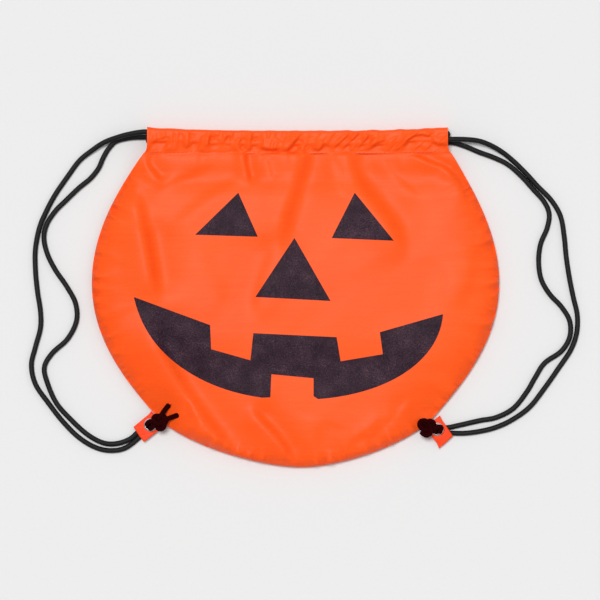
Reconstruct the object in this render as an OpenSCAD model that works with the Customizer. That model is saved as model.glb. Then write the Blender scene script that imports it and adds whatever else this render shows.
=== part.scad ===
// Drawstring treat bag cut in the shape of a pumpkin, lying on its back with a little air in it.
// X runs across the bag, Y from its bottom to its mouth, and Z up from the surface it lies on.
// The origin is on that surface, under the middle of the bag. Lengths are in millimetres.

/* [Bag] */
// Greatest width of the bag
bag_w = 407; // [400:1:414]
// Height of the bag, from its bottom to the edge of its mouth
bag_h = 340; // [336:1:344]
// How far the front panel stands over the side seam in the middle
belly_rise = 16; // [12:1:20]
// Thickness of the cloth
cloth_t = 0.6; // [0.5:0.1:0.7]
// Height of the side seam over the surface below
seam_z = 6.4; // [6.4:0.1:6.8]

/* [Mouth] */
// Length of each hem tunnel along the mouth
hem_l = 300; // [296:1:304]
// Width of each hem tunnel, from its stitching to the edge of the mouth
hem_w = 26.8; // [26.4:0.1:27.2]
// Thickness of each hem tunnel with the cords in it
hem_t = 6.4; // [6.4:0.1:6.8]
// Free height between the two hem tunnels
mouth_gap = 5; // [4.8:0.1:5.2]
// Length of one stitch
stitch_l = 3; // [2:0.5:3.5]
// Distance from one stitch to the next
stitch_pitch = 4.2; // [4:0.1:5]

/* [Drawcords] */
// Diameter of the braided cord
cord_d = 5; // [4.6:0.1:5]
// Diameter of the cord where it is squeezed through an eyelet
squeezed_d = 4; // [3.6:0.1:4]
// Length of each leg of a return loop inside the hem tunnels
loop_leg = 26; // [24:1:28]

/* [Tabs and eyelets] */
// Width of each folded tab
tab_w = 19.5; // [18:0.5:20]
// Length of each tab outside the side seam
tab_l = 25; // [24:0.5:26]
// Thickness of each tab, two layers of cloth
tab_t = 1.2; // [1:0.1:1.2]
// Inner radius of an eyelet
eyelet_r = 4.5; // [4.5:0.1:4.8]
// Outer radius of an eyelet's flange
flange_r = 6.5; // [6.2:0.1:7.8]
// Distance from the line where a tab folds to the middle of its eyelet
eyelet_in = 9; // [8.6:0.1:9.2]

/* [Hidden] */

orange = "orangered";
black = [0.12, 0.12, 0.12];
ink = [0.25, 0.19, 0.22];

hem_x = 2;                              // the hem lies a little right of the middle
hem_left = hem_x - hem_l / 2;
hem_right = hem_x + hem_l / 2;
hem_y = bag_h / 2 - hem_w;              // where the hems are stitched down
back_hem_mid = hem_t / 2;
front_hem_mid = hem_t + mouth_gap + hem_t / 2;
panel_gap = 0.2;                        // between a panel's top edge and its hem tunnel
flare = 4;                              // how much wider a panel's top edge is at each end

// The outline's right half, from the bottom up. Its left half is the mirror image.
bottom = [0, -bag_h / 2];
bottom_lean = 5;                        // the lowest point lies a little right of the middle
bottom_handle = [42, -bag_h / 2];
corner_below = [112, -147];
corner = [137, -121];                   // where the tabs are sewn in
corner_above = [169, -85];
side_below = [bag_w / 2, -43];
side = [bag_w / 2, 14];                 // the widest place
side_above = [bag_w / 2, 64];
mouth_below = [hem_l / 2 + 28, 107];

cols = 26;                              // squares across each panel
rows = 21;                              // squares up each panel
first_row = 0.05;                       // the lowest row is a short chord and not a point

function bezier(a, b, c, d, t) =
    pow(1 - t, 3) * a + 3 * pow(1 - t, 2) * t * b + 3 * (1 - t) * t * t * c + pow(t, 3) * d;
function flip(p, s) = [s * p[0], p[1]];
function hem_end(s) = [hem_x + s * (hem_l / 2 + flare), hem_y - panel_gap];

// A point of the outline: s is -1 on the left and 1 on the right, and t runs from 0 at the bottom
// through 1 at the tab and 2 at the widest place to 3 at the hem.
function outline(s, t) =
    t < 1 ? bezier(bottom + [bottom_lean, 0], flip(bottom_handle, s) + [bottom_lean, 0],
                   flip(corner_below, s), flip(corner, s), t)
    : t < 2 ? bezier(flip(corner, s), flip(corner_above, s), flip(side_below, s), flip(side, s), t - 1)
    : bezier(flip(side, s), flip(side_above, s), flip(mouth_below, s), hem_end(s), t - 2);

// The panels are grids: u runs from -1 on the left to 1 on the right, v from 0 at the bottom to 1.
function place(u, v) =
    let (t = first_row + (3 - first_row) * v, l = outline(-1, t), r = outline(1, t))
    l + (r - l) * (u + 1) / 2;

pressed_w = 20;                         // how far a knot's press on the front panel spreads
pressed = 0.85;
mouth_rise = 6.2;                       // the front panel's height over the seam at its hem
function near_tab(p) =
    let (a = norm(p - corner), b = norm(p - flip(corner, -1)), d = min(a, b))
    exp(-d * d / (2 * pressed_w * pressed_w));
function front_rise(u, v) =
    (belly_rise * pow(sin(180 * pow(v, 0.75)), 0.8) + mouth_rise * v * v)
    * (1 - pow(abs(u), 2.4 + 7 * pow(v, 3))) * (1 - pressed * near_tab(place(u, v)));
seam_half = 0.15;                       // half the gap between the panels at the side seam
function back_drop(u, v) =
    min(seam_z - seam_half - cloth_t, 16 * (1 - pow(abs(u), 4)) * min(1, 5 * v));
function front_z(u, v) = seam_z + seam_half + front_rise(u, v);
function back_z(u, v) = seam_z - seam_half - cloth_t - back_drop(u, v);

function lifted(p, z) = [p[0], p[1], z];
function front_points(lift) =
    [for (j = [0 : rows]) for (i = [0 : cols])
        let (u = 2 * i / cols - 1, v = j / rows) lifted(place(u, v), front_z(u, v) + lift)];
function back_points(lift) =
    [for (j = [0 : rows]) for (i = [0 : cols])
        let (u = 2 * i / cols - 1, v = j / rows) lifted(place(u, v), back_z(u, v) + lift)];

// The triangles between an upper and a lower grid of points, the upper one first.
grid_n = (cols + 1) * (rows + 1);
function at(j, i) = j * (cols + 1) + i;
shell_faces = concat(
    [for (j = [0 : rows - 1]) for (i = [0 : cols - 1]) each [
        [at(j, i), at(j + 1, i), at(j + 1, i + 1)],
        [at(j, i), at(j + 1, i + 1), at(j, i + 1)],
        [grid_n + at(j, i), grid_n + at(j + 1, i + 1), grid_n + at(j + 1, i)],
        [grid_n + at(j, i), grid_n + at(j, i + 1), grid_n + at(j + 1, i + 1)]]],
    [for (i = [0 : cols - 1]) each [
        [grid_n + at(0, i), at(0, i), at(0, i + 1)],
        [grid_n + at(0, i), at(0, i + 1), grid_n + at(0, i + 1)],
        [grid_n + at(rows, i + 1), at(rows, i + 1), at(rows, i)],
        [grid_n + at(rows, i + 1), at(rows, i), grid_n + at(rows, i)]]],
    [for (j = [0 : rows - 1]) each [
        [grid_n + at(j + 1, 0), at(j + 1, 0), at(j, 0)],
        [grid_n + at(j + 1, 0), at(j, 0), grid_n + at(j, 0)],
        [grid_n + at(j, cols), at(j, cols), at(j + 1, cols)],
        [grid_n + at(j, cols), at(j + 1, cols), grid_n + at(j + 1, cols)]]]
);

module front_skin(lift, t) {
    polyhedron(concat(front_points(lift + t), front_points(lift)), shell_faces, convexity = 4);
}

module back_panel() {
    color(orange)
        polyhedron(concat(back_points(cloth_t), back_points(0)), shell_faces, convexity = 4);
}

module front_panel() {
    color(orange) front_skin(0, cloth_t);
}

// The overlocked edge of both panels, turned to the inside along the sides and the bottom.
allowance_w = 6;
allowance_in = 5;
allowance_t = 0.5;
outline_steps = 30;
function inset(p, d) = p * (1 - d / norm(p));
function outline_ring(d) = concat(
    [for (k = [0 : outline_steps]) inset(outline(1, 3 * k / outline_steps), d)],
    [for (k = [outline_steps : -1 : 1]) inset(outline(-1, 3 * k / outline_steps), d)]
);

module seam_allowance() {
    color(orange) translate([0, 0, seam_z - allowance_t / 2])
        linear_extrude(allowance_t) difference() {
            polygon(outline_ring(allowance_in));
            polygon(outline_ring(allowance_in + allowance_w));
            translate([-bag_w / 2, hem_y - 14]) square([bag_w, 40]);
        }
}

// Lays a flat shape of Y and Z along X, from x0 to x1.
module along_x(x0, x1) {
    translate([x0, 0, 0]) rotate([90, 0, 90]) linear_extrude(x1 - x0) children();
}

module flat_oval(w, t) {
    translate([-w / 2 + t / 2, -t / 2]) square([w - t, t]);
    for (s = [-1, 1]) translate([s * (w - t) / 2, 0]) circle(d = t, $fn = 48);
}

// A flattened tube of cloth. Its wall on the side that faces the other hem is cut back at both
// ends, where the return loops cross from one hem to the other.
loop_notch = 13;
module hem_tunnel(z, facing) {
    color(orange) difference() {
        translate([0, hem_y + hem_w / 2, z]) difference() {
            along_x(hem_left, hem_right) flat_oval(hem_w, hem_t);
            along_x(hem_left - 1, hem_right + 1) flat_oval(hem_w - 2 * cloth_t, hem_t - 2 * cloth_t);
        }
        for (x = [hem_left - 1, hem_right - loop_notch])
            translate([x, hem_y + 5, facing > 0 ? z : z - hem_t])
                cube([loop_notch + 1, hem_w - 7, hem_t]);
    }
}

module front_hem_tunnel() {
    hem_tunnel(front_hem_mid, -1);
}

module back_hem_tunnel() {
    hem_tunnel(back_hem_mid, 1);
}

stitch_w = 0.8;
stitch_t = 0.3;
stitch_in = 3.4;                        // from the hem's lower edge to its stitching
module stitch_row(z) {
    color("darkorange")
        for (x = [hem_left + loop_notch + 2 : stitch_pitch : hem_right - loop_notch - 4])
            translate([x, hem_y + stitch_in, z]) cube([stitch_l, stitch_w, stitch_t]);
}

module front_hem_stitching() {
    stitch_row(front_hem_mid + hem_t / 2);
}

module back_hem_stitching() {
    stitch_row(hem_t);
}

// The printed face: shapes of X and Y that are laid on the front panel.
print_lift = 0.05;
print_t = 0.2;
module print_on_front(shape) {
    color(ink) intersection() {
        front_skin(cloth_t + print_lift, print_t);
        linear_extrude(60) polygon(shape);
    }
}

module left_eye_print() {
    print_on_front([[-57, 104], [-37.5, 60], [-100, 62]]);
}

module right_eye_print() {
    print_on_front([[59, 104], [98, 56], [36, 58.7]]);
}

module nose_print() {
    print_on_front([[-1, 59], [35, -4], [-40, 0]]);
}

// The mouth's lower edge is two curves that meet at the middle of the chin, with one tooth cut in.
grin_left = [-161, 0];
grin_right = [147, -17];
grin_low = [-2, -102.4];
curve_steps = 14;
grin_curve = concat(
    [for (k = [0 : curve_steps])
        bezier(grin_right, [143, -70], [79, -104], grin_low, k / curve_steps)],
    [for (k = [1 : curve_steps])
        bezier(grin_low, [-79, -102.5], [-147, -66], grin_left, k / curve_steps)]
);
upper_teeth = [[-85, -28], [-84, -52], [-45, -63], [-42, -36], [41, -40], [45, -64], [87, -57], [84, -35]];
lower_tooth = [[-26, -120], [-24, -77], [18, -81], [20, -120]];

module mouth_print() {
    color(ink) intersection() {
        front_skin(cloth_t + print_lift, print_t);
        linear_extrude(60) difference() {
            polygon(concat(upper_teeth, grin_curve));
            polygon(lower_tooth);
        }
    }
}

// Where each cord lies in the hems, as [y in the front hem, y in the back hem].
left_cord_y = [164.7, 159.8];
right_cord_y = [157.4, 154.2];
exit_in = 2.5;                          // how far inside a hem's end the strap strands begin
left_loop_x = hem_left + 7;             // the middle of the right cord's loop, at the left end
right_loop_x = hem_right - 6;           // the middle of the left cord's loop, at the right end

module rod_x(x0, x1, y, z) {
    translate([x0, y, z]) rotate([0, 90, 0]) cylinder(h = x1 - x0, d = cord_d, $fn = 32);
}

module channel_cords(k, z) {
    color(black) {
        rod_x(hem_left + exit_in, right_loop_x - loop_leg, left_cord_y[k], z);
        rod_x(left_loop_x + loop_leg, hem_right - exit_in, right_cord_y[k], z);
    }
}

module front_channel_cords() {
    channel_cords(0, front_hem_mid);
}

module back_channel_cords() {
    channel_cords(1, back_hem_mid);
}

// A hairpin of cord that turns from the front hem into the back one. Its bend points to +X.
leg_gap = 0.2;                          // between a leg and the cord that lies still in the hem
module return_loop(y) {
    dy = y[0] - y[1];
    dz = front_hem_mid - back_hem_mid;
    bend_r = norm([dy, dz]) / 2;
    color(black) translate([0, (y[0] + y[1]) / 2, (front_hem_mid + back_hem_mid) / 2])
        rotate([atan2(dz, dy), 0, 0]) {
            rotate([0, 0, -90]) rotate_extrude(angle = 180, $fn = 48)
                translate([bend_r, 0]) circle(d = cord_d, $fn = 32);
            for (s = [-1, 1])
                translate([-loop_leg + leg_gap, s * bend_r, 0]) rotate([0, 90, 0])
                    cylinder(h = loop_leg - leg_gap, d = cord_d, $fn = 32);
        }
}

module right_return_loop() {
    translate([right_loop_x, 0, 0]) return_loop(left_cord_y);
}

module left_return_loop() {
    translate([left_loop_x, 0, 0]) mirror([1, 0, 0]) return_loop(right_cord_y);
}

// Where each eyelet is, which way its tab points, and which way its strands leave it.
left_eye = [-144.8, -127.8];
left_turn = 219;
left_leave = 217;
right_eye = [141.4, -132.1];
right_turn = 307;
right_leave = 354;

strap_z = cord_d / 2 + 0.1;             // the strands lie on the surface below
strap_end = [2.1, 2.6];                 // a strand's end beside its eyelet, outwards and sideways

function turned(p, a) = [p[0] * cos(a) - p[1] * sin(a), p[0] * sin(a) + p[1] * cos(a)];
function strap_ends(eye, leave, s) = [for (x = [10, strap_end[0]])
    lifted(eye + turned([x, s * strap_end[1]], leave), strap_z)];

// The strands of the straps, from the hem to the eyelet, as they lie beside the bag.
left_front_route = concat(
    [[hem_left + exit_in, 164.7, front_hem_mid], [-153, 164.7, front_hem_mid], [-164, 163, 13.2],
     [-176, 160, 10.6], [-191, 154.5, 7.2], [-204, 146, 4.2]],
    [for (p = [[-216.2, 136], [-228.2, 119.8], [-240, 102.6], [-249, 86], [-256, 69], [-260, 48],
               [-260, 27], [-258, 6], [-255, -14], [-255, -31], [-260, -50], [-264, -68], [-260, -87],
               [-247, -106], [-233, -124], [-217, -140], [-200, -150.3], [-184, -153.5], [-168.5, -150]])
        lifted(p, strap_z)],
    strap_ends(left_eye, left_leave, 1)
);
left_back_route = concat(
    [[hem_left + exit_in, 159.8, back_hem_mid], [-154, 159.8, back_hem_mid]],
    [for (p = [[-166, 159], [-179.5, 155.5], [-187, 148], [-192.5, 138.5], [-197, 128.5], [-205, 118.5],
               [-216.5, 109], [-229, 97], [-240, 86], [-248.5, 73], [-251.5, 59], [-248, 43], [-240, 27],
               [-229, 11], [-220, -6], [-219, -24], [-228, -42], [-243, -56], [-251, -70], [-248, -86],
               [-239, -106], [-225, -122], [-208.5, -137], [-193, -145.5], [-179, -146.5], [-165, -141.5]])
        lifted(p, strap_z)],
    strap_ends(left_eye, left_leave, -1)
);
right_front_route = concat(
    [[hem_right - exit_in, 157.4, front_hem_mid], [157, 157.4, front_hem_mid], [169, 157.3, 13.2],
     [182, 156, 10.6], [193.5, 152.2, 7.4], [205.3, 145.7, 4.4]],
    [for (p = [[216.3, 137.2], [229.3, 124.7], [242.4, 110.4], [256, 96.3], [265, 80.3], [268.6, 60],
               [270.6, 40], [273.6, 20], [277.6, 0], [281.6, -18], [281, -36], [275, -53], [263, -71],
               [249, -91], [234, -110], [216.5, -122.7], [200, -130.3], [184, -134.3], [168, -136.2]])
        lifted(p, strap_z)],
    strap_ends(right_eye, right_leave, -1)
);
right_back_route = concat(
    [[hem_right - exit_in, 154.2, back_hem_mid], [158, 154.2, back_hem_mid]],
    [for (p = [[170, 150.5], [183, 145], [198.5, 139.3], [212.6, 132.2], [225.7, 120.8], [237.6, 107.7],
               [248.4, 95.4], [253.5, 83], [251.5, 69], [245, 53], [243, 36], [245.5, 18], [254, 3],
               [266, -10], [274, -24], [274, -40], [265.5, -54.2], [249, -66], [239.5, -80.5], [231, -95],
               [218, -111], [201, -120.2], [184, -123.5], [166, -127.6]])
        lifted(p, strap_z)],
    strap_ends(right_eye, right_leave, 1)
);

// A tube with one ring of sides at each point of a route.
sides = 10;
function unit(p) = p / norm(p);
function heading(route, k) = unit(route[min(k + 1, len(route) - 1)] - route[max(k - 1, 0)]);
function ring(route, k) =
    let (h = heading(route, k), across = unit(cross(h, [0, 0, 1])), up = cross(across, h))
    [for (a = [0 : sides - 1])
        route[k] + cord_d / 2 * (cos(360 * a / sides) * across + sin(360 * a / sides) * up)];

module strand(route) {
    last = len(route) - 1;
    faces = concat(
        [[for (a = [0 : sides - 1]) a], [for (a = [sides - 1 : -1 : 0]) last * sides + a]],
        [for (k = [0 : last - 1]) for (a = [0 : sides - 1]) each
            let (b = (a + 1) % sides, lo = k * sides, hi = (k + 1) * sides)
            [[lo + a, hi + a, hi + b], [lo + a, hi + b, lo + b]]]
    );
    color(black) polyhedron([for (k = [0 : last]) each ring(route, k)], faces, convexity = 6);
}

module left_strap_front_strand() {
    strand(left_front_route);
}

module left_strap_back_strand() {
    strand(left_back_route);
}

module right_strap_front_strand() {
    strand(right_front_route);
}

module right_strap_back_strand() {
    strand(right_back_route);
}

// Puts children in a tab's own frame: its origin is the middle of the eyelet in the seam's plane,
// and its X points away from the bag.
module on_tab(eye, turn) {
    translate([eye[0], eye[1], seam_z]) rotate([0, 0, turn]) children();
}

// A strip of cloth folded in two, with its fold at the outer end and a hole for the eyelet.
tab_gap = 0.3;                          // from the line where the tab folds to its inner edge
fold_gap = 0.1;
barrel_r = eyelet_r + 0.4;
module folded_tab() {
    inner = -eyelet_in + tab_gap;
    outer = tab_l - eyelet_in;
    color(orange) difference() {
        translate([0, tab_w / 2, 0]) rotate([90, 0, 0]) linear_extrude(tab_w) difference() {
            union() {
                translate([inner, -tab_t / 2]) square([outer - inner - tab_t / 2, tab_t]);
                translate([outer - tab_t / 2, 0]) circle(d = tab_t, $fn = 32);
            }
            translate([inner - 1, -fold_gap / 2]) square([outer - inner - tab_t, fold_gap]);
        }
        translate([0, 0, -tab_t]) cylinder(h = 2 * tab_t, r = barrel_r + 0.1, $fn = 64);
    }
}

flange_t = 0.6;
washer_t = 0.45;
module eyelet() {
    top = tab_t / 2 + flange_t;
    low = -tab_t / 2 - washer_t;
    color("silver") rotate_extrude($fn = 64) polygon([
        [eyelet_r, low], [barrel_r, low], [barrel_r, tab_t / 2], [flange_r, tab_t / 2],
        [flange_r, tab_t / 2 + flange_t / 2], [flange_r - 1, top], [eyelet_r + 0.8, top],
        [eyelet_r, top - 0.5]]);
}

module eyelet_washer() {
    color("silver") translate([0, 0, -tab_t / 2 - washer_t]) difference() {
        cylinder(h = washer_t, r = flange_r - 0.2, $fn = 64);
        translate([0, 0, -1]) cylinder(h = washer_t + 2, r = barrel_r + 0.1, $fn = 64);
    }
}

module left_tab() {
    on_tab(left_eye, left_turn) folded_tab();
}

module right_tab() {
    on_tab(right_eye, right_turn) folded_tab();
}

module left_eyelet() {
    on_tab(left_eye, left_turn) eyelet();
}

module right_eyelet() {
    on_tab(right_eye, right_turn) eyelet();
}

module left_eyelet_washer() {
    on_tab(left_eye, left_turn) eyelet_washer();
}

module right_eyelet_washer() {
    on_tab(right_eye, right_turn) eyelet_washer();
}

// The two squeezed strands that come up through an eyelet, into the knot over it. They lie side by
// side across the way that the strap's strands leave, which is at an angle to the tab.
module eyelet_strands(top, angle) {
    low = 0.4 - seam_z;
    rotate([0, 0, angle]) for (s = [-1, 1]) translate([0, s * (squeezed_d / 2 + 0.05), low])
        cylinder(h = top - low, d = squeezed_d, $fn = 32);
}

// A knot drawn as round lumps, each [x, y, z, radius] in the frame of its tab. A lump beyond the
// eyelet is turned about Z, so that the lumps' seams don't lie on each other.
module lumps(list) {
    for (l = list)
        translate([l[0], l[1], l[2]]) rotate([0, 0, l[0] < 0 ? 180 : 0]) sphere(r = l[3], $fn = 48);
}

module left_knot() {
    color(black) on_tab(left_eye, left_turn) {
        eyelet_strands(6, left_leave - left_turn);
        lumps([[0.2, 0, 6.6, 5.3], [-8.6, 3.6, 9.8, 7]]);
    }
}

// The cord's cut ends, lying on the front panel. Each is [x, y, z] of its start and of its tip.
tail_d = 4.6;
left_tails = [[[-17.5, -1.5, 9], [-28.5, -3.5, 7]], [[-16.5, 5.5, 9], [-29.5, 9.5, 7]]];
module left_knot_tails() {
    color(black) on_tab(left_eye, left_turn) for (t = left_tails) {
        run = t[1] - t[0];
        translate(t[0]) rotate([0, acos(run[2] / norm(run)), atan2(run[1], run[0])])
            cylinder(h = norm(run), d = tail_d, $fn = 32);
    }
}

module right_knot() {
    color(black) on_tab(right_eye, right_turn) {
        eyelet_strands(6, right_leave - right_turn);
        lumps([[0.2, 0, 6.6, 5.3], [-8.2, -5.4, 9.6, 6.4], [-5, -12.2, 9.2, 6]]);
    }
}

back_panel();
front_panel();
seam_allowance();
back_hem_tunnel();
front_hem_tunnel();
back_hem_stitching();
front_hem_stitching();
left_eye_print();
right_eye_print();
nose_print();
mouth_print();
back_channel_cords();
front_channel_cords();
left_return_loop();
right_return_loop();
left_strap_front_strand();
left_strap_back_strand();
right_strap_front_strand();
right_strap_back_strand();
left_tab();
left_eyelet();
left_eyelet_washer();
left_knot();
left_knot_tails();
right_tab();
right_eyelet();
right_eyelet_washer();
right_knot();
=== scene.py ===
"""Looks of the drawstring treat bag: gathered cloth, a printed face, braided cords, knots and eyelets.

The bag lies on its back. X runs across it, Y towards its mouth, and Z up. Sizes and points are in
millimetres, as in the part's source, and MM turns them into the frame's metres.
"""

import math

import bpy
import numpy as np
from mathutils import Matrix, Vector
from mathutils.geometry import delaunay_2d_cdt


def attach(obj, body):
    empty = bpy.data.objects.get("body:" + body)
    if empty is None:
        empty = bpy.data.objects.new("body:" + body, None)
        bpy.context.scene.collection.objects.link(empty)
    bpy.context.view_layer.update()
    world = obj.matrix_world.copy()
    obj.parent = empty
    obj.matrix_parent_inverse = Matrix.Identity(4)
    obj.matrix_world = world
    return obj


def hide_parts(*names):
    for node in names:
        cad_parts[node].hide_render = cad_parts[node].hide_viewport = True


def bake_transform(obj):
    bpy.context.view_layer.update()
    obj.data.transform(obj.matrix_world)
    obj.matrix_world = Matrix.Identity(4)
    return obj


MM = 0.001
SEED = 31

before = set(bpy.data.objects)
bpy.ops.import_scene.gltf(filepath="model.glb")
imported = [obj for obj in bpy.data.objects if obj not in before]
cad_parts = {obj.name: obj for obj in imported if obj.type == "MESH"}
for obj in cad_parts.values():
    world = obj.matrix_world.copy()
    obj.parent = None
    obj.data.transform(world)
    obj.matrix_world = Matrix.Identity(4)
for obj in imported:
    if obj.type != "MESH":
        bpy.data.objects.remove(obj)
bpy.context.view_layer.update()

# -------- sizes of the bag, in millimetres

BAG_W, BAG_H = 407.0, 340.0
HEM_X, HEM_L, HEM_W, HEM_T = 2.0, 300.0, 26.8, 6.4  # the hems' middle, length, width and thickness
HEM_LEFT, HEM_RIGHT = HEM_X - HEM_L / 2, HEM_X + HEM_L / 2
HEM_Y = BAG_H / 2 - HEM_W  # the lower edge of both hems
PANEL_TOP = HEM_Y - 0.2  # the upper edge of both panels
STITCH_Y = HEM_Y + 1.6  # the line of stitches
TOP_DIP = 3.4  # how far the mouth's edge hangs down in its middle
TOP_Y = BAG_H / 2 - 0.6  # the mouth's edge at the hems' ends
FLARE = 4.0  # how far the panel reaches past each end of the hem above it
BACK_HEM_Z, FRONT_HEM_Z = HEM_T / 2, 14.6  # the middle of each hem
CORNER_LEFT, CORNER_RIGHT = (-137, -121), (137, -121)  # where the tabs are sewn in

# Heights that the front cloth gains over the seam: in all of the panel, towards the mouth, beside the seam,
# beside the seam at the bag's sides, and in waves there; and the puckers that the seam draws in it.
SEAM_Z = 6.4
BELLY_RISE = 12.4
MOUTH_RISE = 5.0
ROLL_RISE, EDGE_RISE = 0.7, 2.4
SIDE_RISE, SIDE_WAVES = 3.2, 3.2
PUCKER_RISE = 4.4
STITCH_DENT = 0.7  # how deep the stitches draw the front cloth in
SEAM_RUN = 1180.0  # how far the random curves along the seam run in its whole length
LEAST_Z = 0.12  # the lowest that the back cloth lies
PRESS_REACH = 19  # how far round a corner its knot holds the cloth down

CORD_D = 5.0
KNOT_D, TAIL_D, YARN_D = 4.8, 4.9, 0.9  # the same cord in a knot and at a cut end, and its yarns there
STRAP_Z = CORD_D / 2 + 0.1
EXIT_IN = 2.5  # how far inside the hem a strap's strand begins
HEM_SAG = 0.85  # how far a cord sinks between its two ends in the front hem
LEFT_CORD_Y = (164.7, 159.8)  # in the front hem and in the back hem
RIGHT_CORD_Y = (157.4, 154.2)
LOOP_LEG = 26.0  # how far a return loop reaches back into each hem
LEFT_LOOP_X, RIGHT_LOOP_X = HEM_LEFT + 7, HEM_RIGHT - 6

TAB_T, BARREL_R = 1.2, 4.9  # a folded tab's thickness, and the radius of an eyelet's barrel
# The eyelets, the way that each tab points, and the way that its strap leaves, in degrees from X.
LEFT_EYE, LEFT_TURN, LEFT_LEAVE = (-144.8, -127.8), 219.0, 217.0
RIGHT_EYE, RIGHT_TURN, RIGHT_LEAVE = (141.4, -132.1), 307.0, 354.0


def smoothstep(t):
    """An even S-shaped rise from 0 to 1 as t goes from 0 to 1."""
    t = np.clip(t, 0, 1)
    return t * t * (3 - 2 * t)


# -------- outline


def bezier(a, b, c, d, t):
    """Points of a cubic curve from a to d, with b and c as its handles."""
    a, b, c, d = (np.array(p, float) for p in (a, b, c, d))
    t = np.asarray(t, float)[:, None]
    return (1 - t) ** 3 * a + 3 * (1 - t) ** 2 * t * b + 3 * (1 - t) * t * t * c + t**3 * d


def outline_side(side):
    """Points of one side of the bag's outline from the bottom to the hem: side is -1 left or 1 right."""
    flip = np.array([side, 1.0])
    lean = np.array([5.0, 0.0])  # the lowest point is a little right of the middle
    bottom, bottom_handle = np.array([0, -BAG_H / 2]), np.array([42, -BAG_H / 2])
    corner_below, corner, corner_above = (np.array(p) for p in ((112, -147), CORNER_RIGHT, (169, -85)))
    side_below, widest, side_above = (np.array([BAG_W / 2, y]) for y in (-43, 14, 64))
    mouth_below = np.array([HEM_L / 2 + 28, 107])
    end = np.array([HEM_X + side * (HEM_L / 2 + FLARE), PANEL_TOP])
    t = np.linspace(0, 1, 60)
    low = bezier(bottom + lean, bottom_handle * flip + lean, corner_below * flip, corner * flip, t)
    mid = bezier(corner * flip, corner_above * flip, side_below * flip, widest * flip, t[1:])
    top = bezier(widest * flip, side_above * flip, mouth_below * flip, end, t[1:])
    return np.vstack([low, mid, top])


LEFT_SIDE, RIGHT_SIDE = outline_side(-1), outline_side(1)
SEAM_LINE = np.vstack([LEFT_SIDE[::-1], RIGHT_SIDE[1:]])
ROW_OF_Y = np.linspace(0, 1, len(LEFT_SIDE))


def across_up(x, y):
    """How far across (-1 to 1) and up (0 to 1) the panel a place is."""
    left = np.interp(y, LEFT_SIDE[:, 1], LEFT_SIDE[:, 0])
    right = np.interp(y, RIGHT_SIDE[:, 1], RIGHT_SIDE[:, 0])
    u = (2 * x - left - right) / np.maximum(right - left, 1e-6)
    return np.clip(u, -1, 1), np.interp(y, LEFT_SIDE[:, 1], ROW_OF_Y)


def along_and_off(points, line):
    """Each point's distance from a polyline, positive right of its run, and how far along it lies."""
    a, b = line[:-1], line[1:]
    run = b - a
    length = np.linalg.norm(run, axis=1)
    start = np.concatenate([[0], np.cumsum(length)[:-1]])
    best = np.full(len(points), np.inf)
    off, along = np.zeros(len(points)), np.zeros(len(points))
    for k in range(len(a)):
        rel = points - a[k]
        t = np.clip(rel @ run[k] / max(length[k] ** 2, 1e-9), 0, 1)
        gap = rel - t[:, None] * run[k]
        d = np.hypot(gap[:, 0], gap[:, 1])
        near = d < best
        side = np.sign(rel[:, 0] * run[k, 1] - rel[:, 1] * run[k, 0])
        best = np.where(near, d, best)
        off = np.where(near, d * side, off)
        along = np.where(near, start[k] + t * length[k], along)
    return off, along / length.sum()


# -------- folds of the front cloth

# Each fold is the middle of a slope that falls to the left as its line runs: points, half width and depth.
FOLDS = [
    ([(16, 168), (12, 142), (8, 126), (1, 104), (-6, 82), (-10, 66), (-18, 38)], 11, 2.1),
    ([(50, 166), (57, 141), (61, 126), (72, 106), (86, 90), (98, 74), (105, 58), (110, 30)], 11, 2.2),
    ([(-52, 152), (-50, 142), (-49, 133), (-47, 124), (-44, 110)], 3.8, 1.3),
    ([(-150, 146), (-147, 133), (-140, 124), (-130, 112)], 4.5, 1.2),
    ([(-28, 141), (-26, 131), (-22, 116)], 4.5, 0.4),
    ([(36, 141), (40, 128), (46, 112), (50, 96)], 6, 0.35),
    ([(112, 146), (132, 136), (150, 129), (164, 114)], 3.4, 1.0),
    ([(84, 140), (96, 126), (110, 112), (128, 96)], 6, 0.4),
    ([(154, 134), (158, 126), (166, 112), (174, 90)], 5, 1.1),
    ([(-136, 64), (-105, 88), (-80, 106), (-44, 126)], 10, 0.62),
    ([(-150, 100), (-128, 112), (-100, 124), (-78, 134)], 7, -0.55),
    ([(-158, 116), (-155, 96), (-152, 80), (-147, 56), (-142, 30), (-137, -10)], 8, 1.7),
    ([(-147, 84), (-143, 52), (-138, 24), (-134, -12)], 10, 1.1),
    ([(-148, -4), (-135, -42), (-123, -66), (-107, -94), (-88, -121), (-66, -150), (-50, -178)], 10, 2.4),
    ([(-46, -104), (-38, -116), (-24, -131), (-12, -145), (-5, -158), (2, -174)], 6, 1.6),
    ([(-100, 50), (-84, 30), (-72, 4), (-66, -22)], 15, 0.35),
    ([(-18, 62), (-32, 26), (-40, -4), (-42, -30)], 12, -0.8),
    ([(150, 40), (146, 10), (136, -16), (128, -40)], 14, -0.5),
    ([(180, 62), (178, 30), (170, 4), (158, -20)], 9, 0.6),
    ([(104, -112), (88, -128), (66, -146)], 3.6, 0.6),
    ([(116, -98), (98, -120), (78, -138)], 4, -0.5),
    ([(90, -118), (74, -132), (50, -150)], 3.4, 0.45),
    ([(30, -120), (22, -138), (18, -156)], 9, 0.4),
    ([(-108, -100), (-104, -114), (-98, -126)], 4, -0.6),
]

FOLD_GAIN = 2.5  # how much deeper every fold is made than its own number

BACK_FOLDS = FOLDS[5:13]  # the back cloth takes some of the same folds, fainter

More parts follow.
